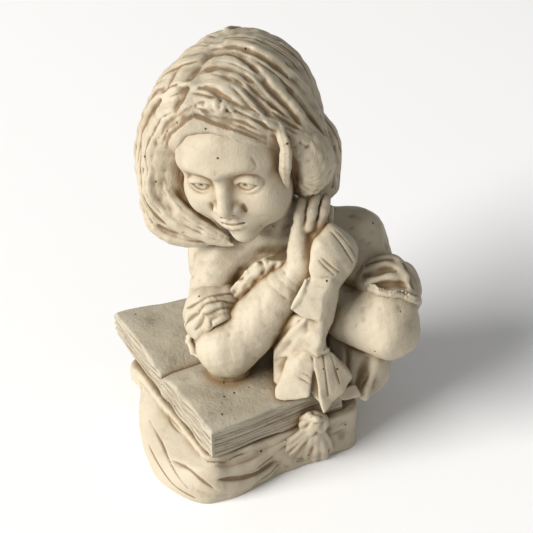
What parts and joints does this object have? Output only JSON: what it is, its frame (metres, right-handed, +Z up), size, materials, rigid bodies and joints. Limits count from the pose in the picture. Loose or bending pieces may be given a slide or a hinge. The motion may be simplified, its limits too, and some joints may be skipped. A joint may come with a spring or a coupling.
{
  "type": "portrait bust",
  "caption": "Cast marble bust of a child leaning on an open book, chin by an upright hand, with a scarf bow, on a draped hollow plinth.",
  "frame": {"origin": "centre of the bust's footprint, on the surface it stands on", "axes": "+Z up; the sitter's chest faces -Y; +X is on the sitter's left"},
  "size_m": [0.2677, 0.224, 0.3622],
  "materials": {
    "cast_marble": "satin cast marble, warm patina in the hollows",
    "cast_marble_pages": "matte cast marble, greyer and dirtier",
    "dowel_wood": "plain sawn beech",
    "bar_iron": "black iron"
  },
  "bodies": {
    "root": {"plinth_shell": "cast_marble", "plinth_drapery": "cast_marble", "swag_rosette": "cast_marble", "pages_right": "cast_marble_pages", "pages_left": "cast_marble_pages", "torso": "cast_marble", "neckline_frill": "cast_marble", "neck": "cast_marble", "head": "cast_marble", "hair": "cast_marble", "right_upper_arm": "cast_marble", "right_sleeve": "cast_marble", "right_forearm": "cast_marble", "right_hand": "cast_marble", "left_sleeve": "cast_marble", "left_forearm": "cast_marble", "dress_side": "cast_marble", "scarf_loop": "cast_marble", "scarf_flap": "cast_marble", "scarf_knot": "cast_marble", "scarf_tail_striped": "cast_marble", "scarf_tail_plain": "cast_marble", "neck_dowel": "dowel_wood", "right_arm_bar": "bar_iron", "left_arm_bar": "bar_iron"}
  },
  "joints": []
}
